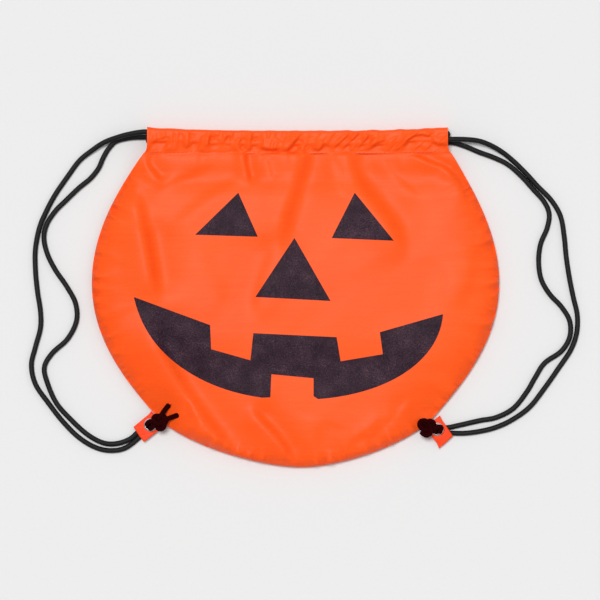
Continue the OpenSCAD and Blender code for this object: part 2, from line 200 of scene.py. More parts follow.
# The same in the hem, where the cloth is bunched along the cords.
HEM_FOLDS = [
    ([(-124, 160), (-134, 157), (-146, 152)], 2.6, 0.8),
    ([(-85, 163), (-86, 155), (-87, 148)], 1.9, 0.75),
    ([(-53, 160), (-55, 152), (-54, 144)], 1.9, 0.8),
    ([(-42, 166), (-44, 156), (-44, 148), (-46, 142)], 2.4, 1.0),
    ([(-14, 148), (-24, 146), (-38, 149)], 2.6, 0.9),
    ([(5, 160), (-1, 153), (-11, 142)], 2.6, 1.1),
    ([(15, 156), (10, 150), (6, 144)], 2.0, 0.5),
    ([(30, 155), (26, 149), (22, 143)], 2.2, 0.9),
    ([(56, 164), (44, 153), (36, 147)], 1.7, 0.6),
    ([(66, 166), (54, 154), (44, 145)], 1.8, 0.7),
    ([(74, 164), (70, 156), (62, 148)], 1.8, 0.6),
    ([(92, 157), (84, 153), (74, 148)], 2.4, 0.8),
    ([(140, 158), (127, 161), (115, 158), (109, 152), (103, 146)], 2.6, 1.0),
    ([(152, 152), (142, 152), (134, 155)], 2.4, 0.8),
    ([(-100, 158), (-104, 152), (-108, 147)], 2.2, 0.5),
    ([(-66, 162), (-70, 156), (-72, 150)], 2.2, 0.5),
]


def fold_heights(points, folds):
    """The height that folds add: a slope across each line, which fades to its sides and ends."""
    z = np.zeros(len(points))
    for line, width, depth in folds:
        line = smooth_line(line, 5)
        chord = line[-1] - line[0]
        along = (points - line[0]) @ chord / (chord @ chord)
        near = (along > 0) & (along < 1)
        off = along_and_off(points[near], line)[0]
        along = along[near]
        slope = np.tanh(1.6 * off / width) * np.exp(-((off / (2.8 * width)) ** 2))
        ends = smoothstep(along / 0.25) * smoothstep((1 - along) / 0.3)
        z[near] += FOLD_GAIN * depth * slope * ends
    return z


def smooth_noise(a, b, seed):
    """Smooth random heights from about -1 to 1, with features one unit across."""
    table = np.random.default_rng(seed).uniform(-1, 1, (64, 64))
    ia, ib = np.floor(a).astype(int), np.floor(b).astype(int)
    fa, fb = smoothstep(a - ia), smoothstep(b - ib)
    corner = [[table[(ia + da) % 64, (ib + db) % 64] for db in (0, 1)] for da in (0, 1)]
    low = corner[0][0] * (1 - fa) + corner[1][0] * fa
    high = corner[0][1] * (1 - fa) + corner[1][1] * fa
    return low * (1 - fb) + high * fb


def leaning_noise(points, lean, across, along, seed):
    """Noise drawn out along a direction lean degrees right of Y."""
    a = np.radians(lean)
    x, y = points[:, 0], points[:, 1] - STITCH_Y
    over, up = x * np.cos(a) - y * np.sin(a), x * np.sin(a) + y * np.cos(a)
    return smooth_noise(over / across, up / along, seed)


def gathers(points, seed=11):
    """The bunching of the hem's cloth along its cords."""
    x, y = points[:, 0], points[:, 1]
    lean = 6 + 38 * smoothstep((x + 60) / 120)
    n = 0.75 * leaning_noise(points, lean, 5.5, 19, seed)
    n += 0.4 * leaning_noise(points, lean, 2.7, 12, seed + 1)
    crease = np.exp(-((n / 0.10) ** 2))
    share = smoothstep((y - HEM_Y) / 6) * (1 - 0.65 * smoothstep((y - 161) / 7))
    return (2.3 * n - 0.65 * crease) * share


def pleats(points, seed=21):
    """Small pleats that run down from the line of stitches and fade into the panel."""
    x, y = points[:, 0], points[:, 1]
    below = np.maximum(STITCH_Y - y, 0)
    n = leaning_noise(points, -0.10 * x, 4.6, 34, seed)
    n += 0.5 * leaning_noise(points, -0.14 * x, 9.0, 50, seed + 1)
    near = np.where(y < STITCH_Y, np.exp(-below / 10), np.exp(-(y - STITCH_Y) / 3))
    return 0.50 * n * near


def random_creases(count):
    """Small ridges: each a middle, a unit direction, a half length, a half width and a height."""
    rng = np.random.default_rng(SEED)
    made = []
    for _ in range(count):
        x, y = rng.uniform(-170, 170), rng.uniform(-120, 118)
        angle = math.radians(35 + 0.2 * x + rng.normal(0, 9))
        length, width, height = rng.uniform(18, 46), rng.uniform(5, 11), rng.uniform(0.08, 0.24)
        height *= rng.choice((-1, 1), p=(0.35, 0.65))
        made.append(((x, y), (math.sin(angle), math.cos(angle)), length, width, height))
    return made


CREASES = random_creases(60)


def crease_heights(points):
    """The height that the small ridges add."""
    z = np.zeros(len(points))
    for middle, way, length, width, height in CREASES:
        rel = points - np.array(middle)
        along = rel @ np.array(way) / length
        near = np.abs(along) < 2.6
        off = (rel[near, 0] * way[1] - rel[near, 1] * way[0]) / width
        z[near] += height * np.exp(-along[near] ** 2) * np.exp(-off * off)
    return z


def waviness(x, seed, wave):
    """A smooth random curve of x, between about -1 and 1, with features about one wave long."""
    r = np.random.default_rng(seed)
    total = np.zeros_like(x, dtype=float)
    for _ in range(5):
        size, length, start = r.uniform(0.5, 1), wave * r.uniform(0.7, 1.9), r.uniform(0, 6.3)
        total += size * np.sin(2 * np.pi * x / length + start)
    return total / 2.4


def mouth_top(x):
    """The height in Y of the mouth's edge."""
    xi = np.clip(np.abs(x - HEM_X) / (HEM_L / 2), 0, 1)
    return TOP_Y - TOP_DIP * (1 - xi**3) + 0.35 * waviness(x, 5, 17)


def corner_press(points):
    """How freely the cloth rises: 1, and down to 0.2 at the corners, where the knots hold it down."""
    near = np.zeros(len(points))
    for corner in (CORNER_LEFT, CORNER_RIGHT):
        d = np.linalg.norm(points - np.array(corner), axis=1)
        near = np.maximum(near, np.exp(-d * d / (2 * PRESS_REACH * PRESS_REACH)))
    return 1 - 0.8 * near


def stitch_line(x):
    """The line of stitches, which the gathering pulls a little out of straight."""
    return STITCH_Y - 0.4 + 1.1 * waviness(x, 17, 21)


def risen(off, reach, share=1.0):
    """How much of a rise the cloth has at a distance from the seam: none on it, and most past its reach."""
    return 1 - np.exp(-np.abs(off) / reach) * share


def stitch_dent(above, depth):
    """How far the stitches draw the cloth in, at a distance above or below their line."""
    return depth * np.exp(-((above / 1.3) ** 2))


def seam_puckers(off, along, seed):
    """Small dents beside a seam, where its thread draws the cloth up."""
    s, off = along * SEAM_RUN, np.abs(off)
    n = smooth_noise(s / 8.5, off / 30, seed) + 0.6 * smooth_noise(s / 3.6, off / 20, seed + 1)
    crease = np.exp(-((n / 0.11) ** 2))
    return (n - 0.55 * crease) * np.exp(-off / 7.5) * smoothstep(off / 1.6)


def front_rest(points):
    """Height of the front cloth over the panel, from its place in X and Y."""
    x, y = points[:, 0], points[:, 1]
    u, v = across_up(x, y)
    off, along = along_and_off(points, SEAM_LINE)
    press = corner_press(points)
    dome = BELLY_RISE * (1 - (1 - v) ** 6) * (1 - v**5)
    z = SEAM_Z + dome * (1 - np.abs(u) ** 10) * press + MOUTH_RISE * smoothstep((y - 112) / 31)
    below_hem = smoothstep((137 - y) / 14)
    z += ROLL_RISE * risen(off, 1.4, below_hem) * press
    z += EDGE_RISE * risen(off, 4.2, below_hem) * press
    sides = smoothstep((y + 80) / 45) * smoothstep((128 - y) / 30)
    z += SIDE_RISE * sides * risen(off, 5.5) * press
    waves = waviness(along * SEAM_RUN, 13, 40) * risen(off, 4) * np.exp(-np.abs(off) / 13)
    z += SIDE_WAVES * waves * sides * press
    inside = smoothstep(np.abs(off) / 12)
    z += fold_heights(points, FOLDS) * inside * press
    z += crease_heights(points) * inside * press * smoothstep((HEM_Y - y) / 16)
    z += pleats(points) * smoothstep((y - 96) / 12)
    z += PUCKER_RISE * seam_puckers(off, along, 41) * smoothstep((132 - y) / 20) * (0.25 + 0.75 * press)
    return z - stitch_dent(y - stitch_line(x), STITCH_DENT)


def back_rest(points):
    """Height of the back cloth's panel. It rests on the floor in the middle."""
    x, y = points[:, 0], points[:, 1]
    u, v = across_up(x, y)
    off, along = along_and_off(points, SEAM_LINE)
    drop = np.minimum(SEAM_Z - 0.5, 16 * (1 - np.abs(u) ** 4) * np.minimum(1, 5 * v))
    wrinkle = crease_heights(points * np.array([-1, 1])) + fold_heights(points * 0.9, BACK_FOLDS)
    rise = np.abs(wrinkle) * 0.9 * smoothstep(np.abs(off) / 30)
    press = corner_press(points)
    z = SEAM_Z - 0.2 - drop * (0.35 + 0.65 * press) - 0.3 * risen(off, 1.4) * press
    pucker = seam_puckers(off, along, 51) * smoothstep((132 - y) / 20) * press
    return np.maximum(z + rise + 0.4 * pucker, LEAST_Z)


# -------- mesh helpers


def mesh_object(name, vertices, faces, material):
    """A smooth mesh object from points in millimetres, with one material or a list of them."""
    mesh = bpy.data.meshes.new(name)
    mesh.from_pydata([tuple(p) for p in np.asarray(vertices) * MM], [], [tuple(map(int, f)) for f in faces])
    mesh.polygons.foreach_set("use_smooth", [True] * len(mesh.polygons))
    for m in material if isinstance(material, list) else [material]:
        mesh.materials.append(m)
    mesh.validate()
    obj = bpy.data.objects.new(name, mesh)
    bpy.context.scene.collection.objects.link(obj)
    return obj


def inside_polygon(points, polygon):
    """Which of the points are inside a closed polygon."""
    x, y = points[:, 0], points[:, 1]
    inside = np.zeros(len(points), bool)
    for (x0, y0), (x1, y1) in zip(polygon, np.roll(polygon, -1, axis=0)):
        crosses = (y0 > y) != (y1 > y)
        where = x0 + (y - y0) / (y1 - y0 if y1 != y0 else 1) * (x1 - x0)
        inside ^= crosses & (x < where)
    return inside


def looped(line):
    """A polyline with its first point again at its end."""
    return np.vstack([line, line[:1]])


def resampled(line, step):
    """Points along a polyline, about one step apart, with its own corners kept."""
    made = []
    for a, b in zip(line[:-1], line[1:]):
        n = max(1, int(round(np.linalg.norm(b - a) / step)))
        made += [a + (b - a) * k / n for k in range(n)]
    return np.array(made + [line[-1]])


def cut_flat(edge, lines, filler):
    """Triangles that fill a closed edge, with every line of lines kept as an edge between them."""
    points, constraints = [], []
    for line, closed in [(edge, True)] + lines:
        first = len(points)
        points += list(line)
        constraints += [(first + k, first + k + 1) for k in range(len(line) - 1)]
        if closed:
            constraints.append((first + len(line) - 1, first))
    points += list(filler)
    out = delaunay_2d_cdt([Vector(p) for p in points], constraints, [], 0, 1e-4, False)
    flat = np.array([tuple(p) for p in out[0]])
    tris = np.array([f for f in out[2] if len(f) == 3])
    middles = flat[tris].mean(axis=1)
    tris = tris[inside_polygon(middles, np.array(edge))]
    a, b, c = flat[tris[:, 0]], flat[tris[:, 1]], flat[tris[:, 2]]
    turn = (b - a)[:, 0] * (c - a)[:, 1] - (b - a)[:, 1] * (c - a)[:, 0]
    tris[turn < 0] = tris[turn < 0][:, ::-1]
    return flat, tris[np.abs(turn) > 1e-7]


# -------- the printed face, in millimetres

LEFT_EYE_PRINT = [(-57, 104), (-37.5, 60), (-100, 62)]
RIGHT_EYE_PRINT = [(59, 104), (98, 56), (36, 58.7)]
NOSE_PRINT = [(-1, 59), (35, -4), (-40, 0)]
UPPER_TEETH = [(-85, -28), (-84, -52), (-45, -63), (-42, -36), (41, -40), (45, -64), (87, -57), (84, -35)]
LOWER_TOOTH = [(18, -98.8), (18, -81), (-24, -77), (-25, -100)]


def grin():
    """The mouth's edge: the upper teeth, the lip at the right, the lower tooth and the lip at the left."""
    t = np.linspace(0, 1, 30)
    right = bezier((147, -17), (143, -70), (79, -104), (-2, -102.4), t)
    left = bezier((-2, -102.4), (-79, -102.5), (-147, -66), (-161, 0), t[1:])
    return np.vstack([UPPER_TEETH, right[right[:, 0] > 19], LOWER_TOOTH, left[left[:, 0] < -26]])


PRINTS = [np.array(p, float) for p in (LEFT_EYE_PRINT, RIGHT_EYE_PRINT, NOSE_PRINT)] + [grin()]


# -------- cloth

HEM_COLUMNS = np.arange(HEM_LEFT, HEM_RIGHT + 0.01, 1.25)
FINE_FROM = 100  # above this the panel's triangles are small


def flared(x, y):
    """Where cloth at x in the hem lies across the bag: it spreads where the hem meets the panel."""
    spread = 1 + FLARE / (HEM_L / 2) * np.exp(-np.maximum(y - HEM_Y, 0) / 2.5)
    return HEM_X + (x - HEM_X) * spread


def panel_points():
    """The panel's closed edge, and filler points inside it, closer together near the mouth and the seam."""
    top = np.column_stack([flared(HEM_COLUMNS, PANEL_TOP), np.full(len(HEM_COLUMNS), PANEL_TOP)])
    edge = np.vstack([resampled(SEAM_LINE, 2.4), top[::-1][1:-1]])
    filler = []
    for k, y in enumerate([*np.arange(-168, FINE_FROM, 2.5), *np.arange(FINE_FROM, HEM_Y - 1, 1.25)]):
        step = 2.6 if y < FINE_FROM else 1.35
        left = np.interp(y, LEFT_SIDE[:, 1], LEFT_SIDE[:, 0]) + 1.4
        right = np.interp(y, RIGHT_SIDE[:, 1], RIGHT_SIDE[:, 0]) - 1.4
        if right - left >= step:
            xs = np.linspace(left, right, max(2, int((right - left) / step)) + k % 2)
            filler += [(x, y) for x in xs if abs(x) > 0.5]
    filler = np.array(filler)
    filler = filler[np.abs(along_and_off(filler, SEAM_LINE)[0]) > 7.4]
    rim = resampled(SEAM_LINE, 1.5)
    way = np.gradient(rim, axis=0)
    way /= np.linalg.norm(way, axis=1, keepdims=True)
    inward = np.column_stack([-way[:, 1], way[:, 0]])
    rings = np.vstack([rim + inward * d for d in (1.0, 2.2, 3.5, 5.0, 6.6)])
    keep = (rings[:, 1] < HEM_Y - 1.2) & inside_polygon(rings, edge) & (np.abs(rings[:, 0]) > 0.5)
    return edge, np.vstack([filler, rings[keep]])


def hem_rows():
    """Rows of a hem, from the stitches up its outer face, over the mouth's edge and down inside."""
    shares = {"outer": np.linspace(0, 1, 24), "fold": np.linspace(0, 1, 9), "inner": np.linspace(1, 0, 12)}
    return [(kind, r) for kind in shares for r in shares[kind][1:]]


def hem_cord(x, y, z, sag):
    """Where the middle of a cord in a hem lies in Y and Z, at x."""
    ends = np.minimum(np.abs(x - HEM_LEFT), np.abs(x - HEM_RIGHT))
    inner = smoothstep((ends - 36) / 26)
    return y - (TOP_Y - mouth_top(x)) * inner, z - sag * inner


def over_cords(points):
    """The least height of the front hem's outer face, which lies over the two cords inside."""
    x, y = points[:, 0], points[:, 1]
    least = np.zeros(len(points))
    for cord_y in (LEFT_CORD_Y[0], RIGHT_CORD_Y[0]):
        middle, height = hem_cord(x, cord_y, FRONT_HEM_Z, HEM_SAG)
        off = np.clip((y - middle) / (CORD_D / 2 + 0.75), -1, 1)
        least = np.maximum(least, height + 3.0 * np.sqrt(1 - off * off))
    return least


def hem_face(points, front):
    """Height of the hem's outer face, from the stitches up to where it turns over the mouth's edge."""
    y = points[:, 1]
    bend = HEM_T / 2
    if front:
        low, high = SEAM_Z + MOUTH_RISE + EDGE_RISE + ROLL_RISE, FRONT_HEM_Z + bend + 0.1
        above = y - stitch_line(points[:, 0])
        z = low + (high - low) * np.clip(above / 13, 0, 1) ** 0.8 - stitch_dent(above, STITCH_DENT)
        z += gathers(points) + 1.4 * fold_heights(points, HEM_FOLDS) + pleats(points)
        z += fold_heights(points, FOLDS) * np.exp(-np.maximum(y - HEM_Y, 0) / 4)
        soft = 0.35  # how gently the cloth comes to lie on the cords
        return z + soft * np.logaddexp(0, (over_cords(points) - z) / soft)
    mirrored = points * np.array([-1, 1])
    low, high = BACK_HEM_Z + 1.2, BACK_HEM_Z - bend + 0.45
    z = low + (high - low) * smoothstep((y - STITCH_Y) / 10) + stitch_dent(y - STITCH_Y, 0.5)
    z -= 0.4 * (gathers(mirrored, 61) + pleats(mirrored, 71))
    return np.clip(z, LEAST_Z, None)


def hem_grid(front):
    """The hem's tunnel as rows of points, each row as wide as HEM_COLUMNS."""
    x = HEM_COLUMNS
    bend = HEM_T / 2 + 0.1
    top = mouth_top(x) - bend
    mid, way = (FRONT_HEM_Z, 1) if front else (BACK_HEM_Z + 0.15, -1)
    inside_z = mid - way * (bend + 0.2)
    low = SEAM_Z + MOUTH_RISE + EDGE_RISE if front else BACK_HEM_Z + 1.9
    grid = []
    for kind, r in hem_rows():
        y = HEM_Y + (top - HEM_Y) * r
        across = x
        if kind == "fold":
            angle = np.pi * (0.5 - r)
            y = top + bend * math.cos(angle)
            outer = hem_face(np.column_stack([x, top]), front)
            z = (outer + inside_z) / 2 + (outer - inside_z) / 2 * math.sin(angle)
        elif kind == "outer":
            across = flared(x, y)
            z = hem_face(np.column_stack([across, y]), front)
        else:
            z = low + (inside_z - low) * smoothstep((y - STITCH_Y) / 8)
        grid.append(np.column_stack([across, y, z]))
    return grid


def cloth_mesh(front):
    """All points and triangles of the front or back cloth, and which of the triangles are printed."""
    edge, filler = panel_points()
    prints = PRINTS if front else []
    lines = [(resampled(np.array([(0.0, -169.6), (0.0, HEM_Y - 1.2)]), 2.0), False)]
    lines += [(resampled(looped(p), 2.2)[:-1], True) for p in prints]
    flat, tris = cut_flat(edge, lines, filler)
    points = np.column_stack([flat, front_rest(flat) if front else back_rest(flat)])
    middles = flat[tris].mean(axis=1)
    printed = np.zeros(len(tris), bool)
    for p in prints:
        printed |= inside_polygon(middles, p)
    rows = hem_grid(front)
    n = len(HEM_COLUMNS)
    base = [int(np.argmin((flat[:, 0] - x) ** 2 + (flat[:, 1] - PANEL_TOP) ** 2))
            for x in flared(HEM_COLUMNS, PANEL_TOP)]
    index = [base] + [range(len(points) + k * n, len(points) + (k + 1) * n) for k in range(len(rows))]
    quads = []
    for low, high in zip(index[:-1], index[1:]):
        for k in range(n - 1):
            quads += [(low[k], low[k + 1], high[k + 1]), (low[k], high[k + 1], high[k])]
    faces = np.vstack([tris, quads])
    if not front:
        faces = faces[:, ::-1]
    return np.vstack([points] + rows), faces, np.concatenate([printed, np.zeros(len(quads), bool)])


def vertex_normals(points, faces):
    """The mean direction of the faces round each point."""
    a, b, c = (points[faces[:, k]] for k in range(3))
    face = np.cross(b - a, c - a)
    total = np.zeros_like(points)
    for k in range(3):
        np.add.at(total, faces[:, k], face)
    return total / np.maximum(np.linalg.norm(total, axis=1, keepdims=True), 1e-12)


def cloth_piece(name, points, faces, printed, normals, materials):
    """One piece of cloth from some of the faces, shaded with the whole cloth's normals."""
    used, new = np.unique(faces, return_inverse=True)
    obj = mesh_object(name, points[used], new.reshape(faces.shape), materials)
    obj.data.polygons.foreach_set("material_index", printed.astype(np.int32))
    obj.data.normals_split_custom_set_from_vertices([tuple(v) for v in normals[used]])
    return obj


# -------- cords


def smooth_line(points, step):
    """A Catmull-Rom curve through points, sampled about one step apart."""
    p = np.array(points, float)
    p = np.vstack([2 * p[0] - p[1], p, 2 * p[-1] - p[-2]])
    made = []
    for k in range(1, len(p) - 2):
        a, b, c, d = p[k - 1], p[k], p[k + 1], p[k + 2]
        n = max(2, int(round(np.linalg.norm(c - b) / step)))
        for t in np.linspace(0, 1, n, endpoint=False):
            made.append(0.5 * (2 * b + (c - a) * t + (2 * a - 5 * b + 4 * c - d) * t * t
                               + (3 * b - a - 3 * c + d) * t**3))
    return np.array(made + [p[-2]])


def frames_along(line):
    """Two directions across a line at each of its points, turned as little as can be along it."""
    way = np.gradient(line, axis=0)
    way /= np.linalg.norm(way, axis=1, keepdims=True)
    side = np.cross(way[0], (0, 0, 1))
    if np.linalg.norm(side) < 1e-3:
        side = np.cross(way[0], (0, 1, 0))
    sides = []
    for w in way:
        side = side - w * (side @ w)
        side = side / np.linalg.norm(side)
        sides.append(side)
    sides = np.array(sides)
    return sides, np.cross(way, sides)


PLAITS = 8  # strands of the braid that run each way round
PLAIT_PITCH = 15.0  # how far a strand runs in one turn


def braid_relief(s, angle, depth):
    """How far a braid's surface stands out at a distance along the cord and an angle round it."""
    a, b = ((angle / (2 * np.pi) + way * s / PLAIT_PITCH) * PLAITS for way in (1, -1))
    upper = np.where((np.floor(a) + np.floor(b)) % 2 > 0.5, a, b)
    return depth * (0.35 + 0.65 * np.sin(np.pi * (upper % 1)) ** 0.7) - depth * 0.7


def braided_tube(name, line, diameter, material, sides=24, relief=0.26, width=None):
    """A round braided cord along a close line of points, with UVs along and round it.

    width gives the cord's width, as a share of its diameter, from the share of its length.
    """
    line = np.asarray(line, float)
    n = len(line)
    across, up = frames_along(line)
    s = np.concatenate([[0], np.cumsum(np.linalg.norm(np.diff(line, axis=0), axis=1))])
    angle = np.linspace(0, 2 * np.pi, sides, endpoint=False)
    radius = diameter / 2 + braid_relief(s[:, None], angle[None, :], relief)
    if width is not None:
        radius = radius * width(s / s[-1])[:, None]
    ring = across[:, None, :] * np.cos(angle)[None, :, None] + up[:, None, :] * np.sin(angle)[None, :, None]
    points = (line[:, None, :] + ring * radius[:, :, None]).reshape(-1, 3)
    k, j = np.divmod(np.arange((n - 1) * sides), sides)
    near, far, i = k * sides, (k + 1) * sides, (j + 1) % sides
    faces = np.column_stack([near + j, near + i, far + i, far + j]).tolist()
    faces += [tuple(range(sides))[::-1], tuple((n - 1) * sides + j for j in range(sides))]
    u0, u1, v0, v1 = s[k] / diameter, s[k + 1] / diameter, j / sides, (j + 1) / sides
    uvs = np.column_stack([u0, v0, u0, v1, u1, v1, u1, v0]).reshape(-1, 2)
    ends = [(0, j / sides) for j in reversed(range(sides))]
    ends += [(s[-1] / diameter, j / sides) for j in range(sides)]
    obj = mesh_object(name, points, faces, material)
    obj.data.uv_layers.new(name="along").data.foreach_set("uv", np.vstack([uvs, ends]).ravel())
    return obj


def turned(p, angle):
    """A place, or a column of them, turned about the origin by an angle in degrees."""
    x, y = np.asarray(p, float).T
    c, s = math.cos(math.radians(angle)), math.sin(math.radians(angle))
    return np.array([x * c - y * s, x * s + y * c]).T


def strap_route(start, falling, lying, eye, leave, side):
    """A strap strand's points: straight out of its hem, down to the floor, over it, and up to its eyelet.

    start holds the X where it begins and the X where it is out, its Y and its Z. side is 1 or -1, the
    strand's side of its strap.
    """
    x_in, x_out, y, z = start
    ends = [np.array(eye) + turned((x, side * 2.6), leave) for x in (10, 2.1)]
    return [(x_in, y, z), (x_out, y, z)] + falling + [(*p, STRAP_Z) for p in lying + ends]


STRANDS = {
    "left_strap_front_strand": strap_route(
        (HEM_LEFT + EXIT_IN, -153, LEFT_CORD_Y[0], FRONT_HEM_Z),
        [(-164, 163, 13.2), (-176, 160, 10.6), (-191, 154.5, 7.2), (-204, 146, 4.2)],
        [(-216.2, 136), (-228.2, 119.8), (-240, 102.6), (-249, 86), (-256, 69), (-260, 48), (-260, 27),
         (-258, 6), (-255, -14), (-255, -31), (-260, -50), (-264, -68), (-260, -87), (-247, -106),
         (-233, -124), (-217, -140), (-200, -150.3), (-184, -153.5), (-168.5, -150)],
        LEFT_EYE, LEFT_LEAVE, 1,
    ),
    "left_strap_back_strand": strap_route(
        (HEM_LEFT + EXIT_IN, -154, LEFT_CORD_Y[1], BACK_HEM_Z), [],
        [(-166, 159), (-179.5, 155.5), (-187, 148), (-192.5, 138.5), (-197, 128.5), (-205, 118.5),
         (-216.5, 109), (-229, 97), (-240, 86), (-248.5, 73), (-251.5, 59), (-248, 43), (-240, 27),
         (-229, 11), (-220, -6), (-219, -24), (-228, -42), (-243, -56), (-251, -70), (-248, -86), (-239, -106),
         (-225, -122), (-208.5, -137), (-193, -145.5), (-179, -146.5), (-165, -141.5)],
        LEFT_EYE, LEFT_LEAVE, -1,
    ),
    "right_strap_front_strand": strap_route(
        (HEM_RIGHT - EXIT_IN, 157, RIGHT_CORD_Y[0], FRONT_HEM_Z),
        [(169, 157.3, 13.2), (182, 156, 10.6), (193.5, 152.2, 7.4), (205.3, 145.7, 4.4)],
        [(216.3, 137.2), (229.3, 124.7), (242.4, 110.4), (256, 96.3), (265, 80.3), (268.6, 60), (270.6, 40),
         (273.6, 20), (277.6, 0), (281.6, -18), (281, -36), (275, -53), (263, -71), (249, -91), (234, -110),
         (216.5, -122.7), (200, -130.3), (184, -134.3), (168, -136.2)],
        RIGHT_EYE, RIGHT_LEAVE, -1,
    ),
    "right_strap_back_strand": strap_route(
        (HEM_RIGHT - EXIT_IN, 158, RIGHT_CORD_Y[1], BACK_HEM_Z), [],
        [(170, 150.5), (183, 145), (198.5, 139.3), (212.6, 132.2), (225.7, 120.8), (237.6, 107.7),
         (248.4, 95.4), (253.5, 83), (251.5, 69), (245, 53), (243, 36), (245.5, 18), (254, 3), (266, -10),
         (274, -24), (274, -40), (265.5, -54.2), (249, -66), (239.5, -80.5), (231, -95), (218, -111),
         (201, -120.2), (184, -123.5), (166, -127.6)],
        RIGHT_EYE, RIGHT_LEAVE, 1,
    ),
}


def loop_line(cord_y, x, way):
    """The hairpin of a return loop: a leg in the front hem, the bend, and a leg in the back hem."""
    front, back = np.array([cord_y[0], FRONT_HEM_Z]), np.array([cord_y[1], BACK_HEM_Z])
    middle, arm = (front + back) / 2, (front - back) / 2
    radius = np.linalg.norm(arm)
    leg = [(x - way * LOOP_LEG * (1 - t), *front) for t in np.linspace(0, 1, 30, endpoint=False)]
    bend = [(x + way * radius * math.sin(a), *(middle + arm * math.cos(a)))
            for a in np.linspace(0, math.pi, 26)]
    other = [(x - way * LOOP_LEG * t, *back) for t in np.linspace(0, 1, 31)[1:]]
    return np.array(leg + bend + other)


# -------- tabs and knots


def tab_to_world(points, eye, turn):
    """Moves points from a tab's own frame: its eyelet in the seam's plane, with X outwards."""
    points = np.asarray(points, float)
    return np.column_stack([np.array(eye) + turned(points[:, :2], turn), SEAM_Z + points[:, 2]])


def tab_piece(name, eye, turn, corners, curl, material):
    """A strip of cloth folded in two, flat round its eyelet, with curl as its height away from it."""
    edge = resampled(looped(np.array(corners, float)), 0.8)[:-1]
    circle = np.array([((BARREL_R + 0.1) * math.cos(a), (BARREL_R + 0.1) * math.sin(a))
                       for a in np.linspace(0, 2 * np.pi, 48, endpoint=False)])
    grid = np.array([(x, y) for x in np.arange(-12, 19, 0.9) for y in np.arange(-13, 13, 0.9)])
    gap = np.abs(along_and_off(grid, looped(edge))[0])
    keep = inside_polygon(grid, edge) & (gap > 0.5) & (np.hypot(*grid.T) > BARREL_R + 0.7)
    flat, tris = cut_flat(edge, [(circle, True)], grid[keep])
    tris = tris[~inside_polygon(flat[tris].mean(axis=1), circle)]
    off = np.abs(along_and_off(flat, looped(edge))[0])
    half = TAB_T / 2 * np.sqrt(np.clip(1 - (1 - np.minimum(off / 0.6, 1)) ** 2, 0, 1))
    away = smoothstep((np.hypot(*flat.T) - 7.6) / 6)
    weave = 0.10 * waviness(flat[:, 0] * 3 + flat[:, 1] * 5, 3, 19) * away
    middle = curl(flat) * away + weave
    points = np.vstack([np.column_stack([flat, middle + half]), np.column_stack([flat, middle - half])])
    n = len(flat)
    edges = dict.fromkeys((t[k], t[(k + 1) % 3]) for t in tris for k in range(3))
    rim = [(a, b) for a, b in edges if (b, a) not in edges]
    sides = [side for a, b in rim for side in ((a, a + n, b + n), (a, b + n, b))]
    faces = [tuple(t) for t in tris] + [tuple(t[::-1] + n) for t in tris] + sides
    return mesh_object(name, tab_to_world(points, eye, turn), faces, material)


def trefoil(size, lean, middle):
    """An overhand knot's line in a tab's frame, open where its ends come in and go out."""
    t = np.linspace(0.32, 2 * np.pi - 0.32, 150)
    p = np.column_stack([np.sin(t) + 2 * np.sin(2 * t), np.cos(t) - 2 * np.cos(2 * t), -np.sin(3 * t)])
    p = p / 3.0 * np.array(size)
    return np.column_stack([turned(p[:, :2], lean), p[:, 2]]) + np.array(middle)


# -------- materials


class Nodes:
    """Short calls for building a material. A value can be a number or what a node puts out."""

    def __init__(self, name):
        self.material = bpy.data.materials.new(name)
        self.material.use_nodes = True
        self.tree = self.material.node_tree

    def give(self, socket, value):
        if isinstance(value, bpy.types.NodeSocket):
            self.tree.links.new(value, socket)
        else:
            socket.default_value = value

    def fill(self, node, **settings):
        """Gives each setting to the node's input of that name, or else to the node itself."""
        for key, value in settings.items():
            socket = node.inputs.get(key.replace("_", " "))
            if socket is None:
                setattr(node, key, value)
            else:
                self.give(socket, value)

    def add(self, kind, output, **settings):
        node = self.tree.nodes.new("ShaderNode" + kind)
        self.fill(node, **settings)
        return node.outputs[output]

    def shade(self, **settings):
        self.fill(self.tree.nodes["Principled BSDF"], **settings)
        return self.material

    def place(self, scale=(1, 1, 1), output="Object"):
        return self.add("Mapping", "Vector", Vector=self.add("TexCoord", output), Scale=scale)

    def noise(self, where, scale, detail=2.0, roughness=0.5):
        return self.add("TexNoise", "Fac", Vector=where, Scale=scale, Detail=detail, Roughness=roughness)

    def wave(self, where, scale, direction):
        return self.add("TexWave", "Fac", Vector=where, Scale=scale, Distortion=0.0, wave_type="BANDS",
                        bands_direction=direction)

    def math(self, operation, *values):
        node = self.tree.nodes.new("ShaderNodeMath")
        node.operation = operation
        for socket, value in zip(node.inputs, values):
            self.give(socket, value)
        return node.outputs[0]

    def mixed(self, *parts):
        """The sum of several values, each with its share."""
        shares = [self.math("MULTIPLY", value, share) for value, share in parts]
        total = shares[0]
        for share in shares[1:]:
            total = self.math("ADD", total, share)
        return total

    def ramp(self, fac, *stops):
        node = self.tree.nodes.new("ShaderNodeValToRGB")
        while len(node.color_ramp.elements) < len(stops):
            node.color_ramp.elements.new(0.5)
        for element, (position, colour) in zip(node.color_ramp.elements, stops):
            element.position, element.color = position, (*colour, 1)
        self.give(node.inputs["Fac"], fac)
        return node.outputs["Color"]

    def range(self, value, low, high):
        return self.add("MapRange", "Result", Value=value, To_Min=low, To_Max=high)

    def bump(self, height, distance, strength):
        return self.add("Bump", "Normal", Height=height, Distance=distance, Strength=strength)


